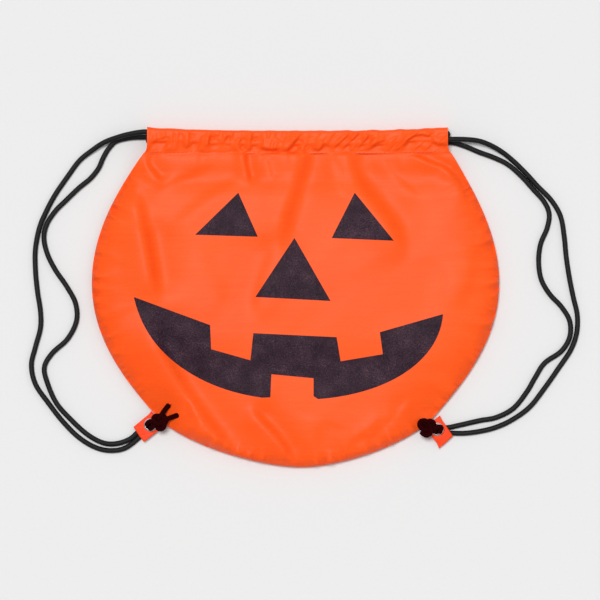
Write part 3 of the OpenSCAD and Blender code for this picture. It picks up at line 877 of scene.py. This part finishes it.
def woven(nodes):
    """The plain weave's height, of threads both ways and long faint slubs along X, and the slubs alone."""
    plain = nodes.place()
    threads = nodes.math("MULTIPLY", nodes.wave(plain, 320, "X"), nodes.wave(plain, 320, "Y"))
    fine = nodes.noise(nodes.place((60, 1300, 60)), 1.0, 2.0, 0.6)
    broad = nodes.noise(nodes.place((16, 420, 16)), 1.0, 2.0, 0.6)
    slubs = nodes.mixed((fine, 0.5), (broad, 0.5))
    return nodes.mixed((threads, 0.5), (slubs, 0.6)), slubs


def orange_cloth(name, low, high):
    """Thin smooth polyester whose colour varies between two oranges."""
    nodes = Nodes(name)
    height, slubs = woven(nodes)
    patches = nodes.noise(nodes.place(), 9.0, 3.0)
    specks = nodes.noise(nodes.place(), 800.0, 2.0, 0.7)
    tone = nodes.mixed((slubs, 0.40), (patches, 0.25), (specks, 0.35))
    return nodes.shade(
        Base_Color=nodes.ramp(tone, (0.38, low), (0.62, high)), Roughness=nodes.range(patches, 0.43, 0.52),
        Normal=nodes.bump(height, 0.00003, 0.7), Specular_IOR_Level=0.17,
        Sheen_Weight=0.05, Sheen_Roughness=0.4, Sheen_Tint=(1.0, 0.3, 0.12, 1),
    )


def print_ink():
    """Screen-printed ink, mottled where the weave shows through it."""
    nodes = Nodes("print_ink")
    height = woven(nodes)[0]
    specks = nodes.noise(nodes.place(), 900.0, 2.0, 0.7)
    patches = nodes.noise(nodes.place(), 60.0, 3.0)
    tone = nodes.mixed((specks, 0.7), (patches, 0.3))
    black, grey, pale = (0.010, 0.002, 0.006), (0.037, 0.0165, 0.028), (0.110, 0.056, 0.072)
    return nodes.shade(
        Base_Color=nodes.ramp(tone, (0.36, black), (0.54, grey), (0.70, pale)),
        Roughness=nodes.range(specks, 0.5, 0.7), Normal=nodes.bump(height, 0.00003, 0.8),
        Specular_IOR_Level=0.12,
    )


def cord_material(name, dark, light, roughness, gloss):
    """Braided polyester cord, with its yarns and their fuzz."""
    nodes = Nodes(name)
    yarns = nodes.wave(nodes.place((1, 8, 1), "UV"), 6.0, "DIAGONAL")
    tone = nodes.mixed((yarns, 0.35), (nodes.noise(nodes.place(), 1500.0, 2.0, 0.6), 0.65))
    return nodes.shade(Base_Color=nodes.ramp(tone, (0.25, dark), (0.75, light)), Roughness=roughness,
                       Normal=nodes.bump(tone, 0.00008, 0.8), Specular_IOR_Level=gloss)


def nickel():
    nodes = Nodes("nickel")
    haze = nodes.noise(nodes.place(), 400.0, 3.0)
    return nodes.shade(Base_Color=nodes.ramp(haze, (0.3, (0.42, 0.42, 0.43)), (0.7, (0.56, 0.56, 0.57))),
                       Normal=nodes.bump(haze, 0.00003, 0.3), Roughness=nodes.range(haze, 0.16, 0.32),
                       Metallic=1.0)


def thread():
    nodes = Nodes("thread")
    ply = nodes.wave(nodes.place(), 1100, "DIAGONAL")
    return nodes.shade(Base_Color=nodes.ramp(ply, (0.2, (0.70, 0.050, 0.006)), (0.8, (0.88, 0.085, 0.012))),
                       Normal=nodes.bump(ply, 0.00005, 0.8), Roughness=0.5, Specular_IOR_Level=0.4)


def floor_paper():
    nodes = Nodes("floor_paper")
    grain = nodes.noise(nodes.place(), 300.0, 3.0)
    return nodes.shade(Base_Color=nodes.ramp(grain, (0.3, (0.760,) * 3), (0.7, (0.770,) * 3)),
                       Roughness=0.9, Specular_IOR_Level=0.1)


ORANGE = orange_cloth("orange_cloth", (0.97, 0.0810, 0.0050), (1.0, 0.1090, 0.0106))
TAB_ORANGE = orange_cloth("tab_cloth", (0.95, 0.046, 0.0035), (1.0, 0.064, 0.006))
INK = print_ink()
CORD = cord_material("cord", (0.0035, 0.0035, 0.004), (0.012, 0.012, 0.0125), 0.5, 0.18)
KNOT = cord_material("cord_knot", (0.009, 0.0002, 0.0004), (0.032, 0.0006, 0.0015), 0.8, 0.03)
NICKEL, THREAD = nickel(), thread()

# -------- camera, lights and floor


WORLD_LIGHT, KEY_LIGHT, FILL_LIGHT = 0.38, 2.1, 0.32


def make_camera():
    camera = bpy.data.objects.new("camera", bpy.data.cameras.new("camera"))
    camera.location = (0.0045, -0.003, 6.0)
    camera.data.sensor_width, camera.data.lens = 36.0, 360.0
    camera.data.clip_end = 50
    bpy.context.scene.collection.objects.link(camera)
    bpy.context.scene.camera = camera


def soft_sun(name, direction, strength, spread):
    """A large soft light, far away, that lights the floor evenly. The spread is in degrees."""
    data = bpy.data.lights.new(name, "SUN")
    data.energy, data.angle = strength, math.radians(spread)
    light = bpy.data.objects.new(name, data)
    light.location = Vector(direction) * 4
    light.rotation_euler = (-light.location).to_track_quat("-Z", "Y").to_euler()
    bpy.context.scene.collection.objects.link(light)


def make_stage():
    """A wide sheet of paper under the bag, and the light on it."""
    reach = 3000
    corners = [(-reach, -reach, 0), (reach, -reach, 0), (reach, reach, 0), (-reach, reach, 0)]
    floor = mesh_object("floor", corners, [(0, 1, 2, 3)], floor_paper())
    floor.location.z = -0.0002
    world = bpy.data.worlds.new("studio")
    world.use_nodes = True
    background = world.node_tree.nodes["Background"].inputs
    background["Color"].default_value, background["Strength"].default_value = (1, 1, 1, 1), WORLD_LIGHT
    bpy.context.scene.world = world
    soft_sun("key", (-0.12, 0.20, 0.97), KEY_LIGHT, 18)
    soft_sun("fill", (0.5, 0.1, 0.8), FILL_LIGHT, 60)
    bpy.context.scene.view_settings.view_transform = "Standard"


# -------- assembly

CHANNEL_STEP = 2.0  # the spacing of the points of a cord inside a hem


def swing(piece):
    """Bakes the placement of a side of the front into its mesh."""
    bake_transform(piece)


def paint_cad(node, material):
    """Gives a CAD node that stays its material."""
    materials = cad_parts[node].data.materials
    materials.clear()
    materials.append(material)


def make_front_cloth():
    points, faces, printed = cloth_mesh(True)
    normals = vertex_normals(points, faces)
    left = points[faces].mean(axis=1)[:, 0] < 0
    for side, keep in (("left", left), ("right", ~left)):
        name = f"{side}_front_cloth"
        piece = cloth_piece(name, points, faces[keep], printed[keep], normals, [ORANGE, INK])
        swing(piece)
        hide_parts("front_panel", "front_hem_tunnel", f"{side}_eye_print", "nose_print",
                    "mouth_print")


def make_back_cloth():
    points, faces, printed = cloth_mesh(False)
    piece = cloth_piece("back_cloth", points, faces, printed, vertex_normals(points, faces), [ORANGE])
    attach(piece, "back")
    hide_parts("back_panel", "back_hem_tunnel")


def stitch_mesh(xs, front):
    """Short rounded stitches along the hem, each lying on the cloth."""
    points, faces = [], []
    sides, rings = 8, 6
    way = 1 if front else -1
    for x in xs:
        first = len(points)
        along = x + np.linspace(-1.5, 1.5, rings)
        where = np.column_stack([along, stitch_line(along) if front else np.full(rings, STITCH_Y)])
        for k, ((px, py), z) in enumerate(zip(where, hem_face(where, front))):
            end = 2 * k / (rings - 1) - 1  # -1 and 1 at the stitch's two ends
            radius = 0.34 * math.sqrt(max(0.05, 1 - end**4))
            lift = (-0.08 - 0.15 * abs(end) ** 3) * way
            for j in range(sides):
                a = 2 * math.pi * j / sides
                points.append((px, py + radius * math.cos(a), z + lift + radius * math.sin(a)))
        for near in range(first, len(points) - sides, sides):
            far = near + sides
            turns = [(j, (j + 1) % sides) for j in range(sides)]
            faces += [(near + j, far + j, far + i, near + i) for j, i in turns]
        faces += [tuple(range(first, first + sides)), tuple(range(far, far + sides))[::-1]]
    return points, faces


def make_stitching():
    xs = np.arange(HEM_LEFT + 6, HEM_RIGHT - 5, 4.2)
    for side, keep in (("left", xs < -2.2), ("right", xs > 2.2)):
        piece = mesh_object(f"{side}_front_stitching", *stitch_mesh(xs[keep], True), THREAD)
        swing(piece)
        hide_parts("front_hem_stitching")
    piece = mesh_object("back_stitching", *stitch_mesh(xs, False), THREAD)
    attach(piece, "back")
    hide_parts("back_hem_stitching")


def channel_cord(name, x0, x1, y, side=None):
    """A cord's run inside the back hem or, if a side is given, inside that side of the front hem."""
    x = np.linspace(x0, x1, max(8, int(abs(x1 - x0) / CHANNEL_STEP)))
    z, sag = (FRONT_HEM_Z, HEM_SAG) if side else (BACK_HEM_Z, 0.0)
    piece = braided_tube(name, np.column_stack([x, *hem_cord(x, y, z, sag)]), CORD_D, CORD, 12, 0.1)
    if side:
        swing(piece)
    else:
        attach(piece, "back")
    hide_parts("front_channel_cords" if side else "back_channel_cords")


def make_channel_cords():
    runs = (("left_cord", HEM_LEFT + EXIT_IN, RIGHT_LOOP_X - LOOP_LEG, LEFT_CORD_Y),
            ("right_cord", LEFT_LOOP_X + LOOP_LEG, HEM_RIGHT - EXIT_IN, RIGHT_CORD_Y))
    for name, x0, x1, cord_y in runs:
        channel_cord(f"{name}_left_of_front_hem", x0, 0, cord_y[0], "left")
        channel_cord(f"{name}_right_of_front_hem", 0, x1, cord_y[0], "right")
    for name, x0, x1, cord_y in runs:
        channel_cord(f"{name}_in_back_hem", x0, x1, cord_y[1])


def make_loops():
    """Where the cords turn back: the right one at the hem's left end, and the left one at its right."""
    turns = (("left", RIGHT_CORD_Y, LEFT_LOOP_X, -1), ("right", LEFT_CORD_Y, RIGHT_LOOP_X, 1))
    for name, cord_y, x, way in turns:
        piece = braided_tube(f"{name}_return_loop_cord", loop_line(cord_y, x, way), CORD_D, CORD, 20)
        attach(piece, f"{name}_loop")
        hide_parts(f"{name}_return_loop")


def make_strands():
    """The four strap strands, each a braided cord along its route."""
    for name, route in STRANDS.items():
        line = smooth_line(route, 0.9)
        piece = braided_tube(f"{name}_cord", line, CORD_D, CORD)
        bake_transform(piece)
        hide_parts(name)


def left_curl(p):
    """The left tab's height off its plane: its tip hangs and its edges twist."""
    return -0.5 * smoothstep((p[:, 0] - 6) / 10) + 0.3 * np.clip(p[:, 1] / 9, -1, 1) ** 3


def right_curl(p):
    """The right tab's height off its plane: its tip hangs, and one corner of it more."""
    corner = smoothstep((-p[:, 1] - 2) / 8) * smoothstep(p[:, 0] / 14)
    return -0.4 * smoothstep((p[:, 0] - 6) / 10) - 0.7 * corner


def make_tabs():
    """The tabs, from the corners of their edges round their eyelets, and the eyelets' metal."""
    left = [(-9.4, -10.6), (-6, -9.4), (14.6, -9.2), (15.6, 0), (15.9, 9.2), (-6, 9.4), (-9.2, 10.6)]
    right = [(-9.2, -10.2), (-4, -8.9), (5, -8.6), (11, -8.5), (16.6, -10.0), (15.8, 0), (14.9, 8.6),
             (-5, 9.6), (-9.3, 10.6)]
    for side, eye, turn, corners, curl in (
        ("left", LEFT_EYE, LEFT_TURN, left, left_curl),
        ("right", RIGHT_EYE, RIGHT_TURN, right, right_curl),
    ):
        piece = tab_piece(f"{side}_tab_cloth", eye, turn, corners, curl, TAB_ORANGE)
        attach(piece, f"{side}_corner")
        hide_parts(f"{side}_tab")
        paint_cad(f"{side}_eyelet", NICKEL)
        paint_cad(f"{side}_eyelet_washer", NICKEL)


def squeezed(share):
    """The width of a knot's strand, which is thinner where the eyelet holds it."""
    return 0.8 + 0.2 * smoothstep((share - 0.04) / 0.06)


def cut(share):
    """The width of a cut end, which opens a little before it and closes on it."""
    return 1 + 0.1 * smoothstep((share - 0.75) / 0.2) - 0.3 * smoothstep((share - 0.95) / 0.05)


def pointed(share):
    """The width of a frayed yarn, which thins to its tip."""
    return 1 - 0.6 * share


def make_knots():
    """Overhand knots, tied in both strands after they come up the eyelet and bend over it."""
    pieces = {}
    for side, eye, turn, leave, size, lean, middle, lobe in (
        ("left", LEFT_EYE, LEFT_TURN, LEFT_LEAVE, (6.0, 6.6, 3.2), 24, (-10.0, 3.4, 8.6), 0),
        ("right", RIGHT_EYE, RIGHT_TURN, RIGHT_LEAVE, (7.4, 6.8, 3.2), -62, (-8.6, -6.6, 8.8), -38),
    ):
        parts = []
        for s in (-1, 1):
            core = trefoil(size, lean, middle)
            core = core + frames_along(core)[0] * s * 1.6
            down = turned((0, s * 2.05), leave - turn)
            over = [turned((x, s * y), lobe) for x, y in ((1.9, 2.6), (1.6, 3.0), (-2.6, 2.7))]
            start = [(*down, z) for z in (-4.2, -2.0, 0.4)]
            start += [(*p, z) for p, z in zip(over, (3.4, 7.0, 9.2))]
            line = tab_to_world(smooth_line(start + [tuple(p) for p in core[6::6]], 0.8), eye, turn)
            parts.append(braided_tube(f"{side}_knot_{s}", line, KNOT_D, KNOT, 20, 0.3, squeezed))
        piece = joined(f"{side}_overhand_knot", parts)
        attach(piece, f"{side}_stop")
        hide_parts(f"{side}_knot")
        pieces[side] = piece
    return pieces


def joined(name, parts):
    """One object from several."""
    first = parts[0]
    with bpy.context.temp_override(active_object=first, selected_editable_objects=parts, object=first):
        bpy.ops.object.join()
    first.name = first.data.name = name
    return first


def frayed_end(name, line, radius):
    """Yarns that stick out of a cord's cut end, each its own way."""
    rng = np.random.default_rng(SEED + len(name) + int(abs(line[-1][0])))
    way = line[-1] - line[-3]
    way /= np.linalg.norm(way)
    side = np.cross(way, (0, 0, 1))
    side /= np.linalg.norm(side)
    up = np.cross(side, way)
    yarns = []
    for k in range(14):
        a, r = rng.uniform(0, 2 * math.pi), radius * math.sqrt(rng.uniform(0, 0.8))
        out = (side * math.cos(a) + up * math.sin(a)) * r
        reach = rng.uniform(1.2, 2.8)
        start = line[-1] + out - way * 0.8
        end = start + way * (reach + 0.8) + out * rng.uniform(0, 0.5)
        yarn = smooth_line([start, start + way * 0.6 * reach + out * 0.12, end], 0.4)
        yarns.append(braided_tube(f"{name}_yarn_{k}", yarn, YARN_D, KNOT, 6, 0.0, pointed))
    return yarns


def make_tails():
    """The left cord's two cut ends, which come out of the knot and lie on the front cloth."""
    parts = []
    for k, points in enumerate((
        [(-9, 0.5, 9.6), (-14, -0.6, 10.2), (-19, -2.2, 9.0), (-24, -3.4, 7.6), (-27.6, -3.8, 6.8)],
        [(-9, 3.6, 9.8), (-14, 4.6, 10.2), (-19, 6.4, 9.2), (-24, 8.2, 7.8), (-28.2, 9.8, 6.8)],
    )):
        line = tab_to_world(smooth_line(points, 0.8), LEFT_EYE, LEFT_TURN)
        parts.append(braided_tube(f"tail_{k}", line, TAIL_D, KNOT, 20, 0.3, cut))
        parts += frayed_end(f"tail_{k}", line, 2.2)
    piece = joined("left_knot_cut_ends", parts)
    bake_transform(piece)
    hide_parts("left_knot_tails")
    return piece


make_camera()
make_stage()
make_tabs()
knots = make_knots()
tails = make_tails()
make_loops()
make_channel_cords()
make_strands()
make_front_cloth()
make_back_cloth()
make_stitching()
paint_cad("seam_allowance", ORANGE)
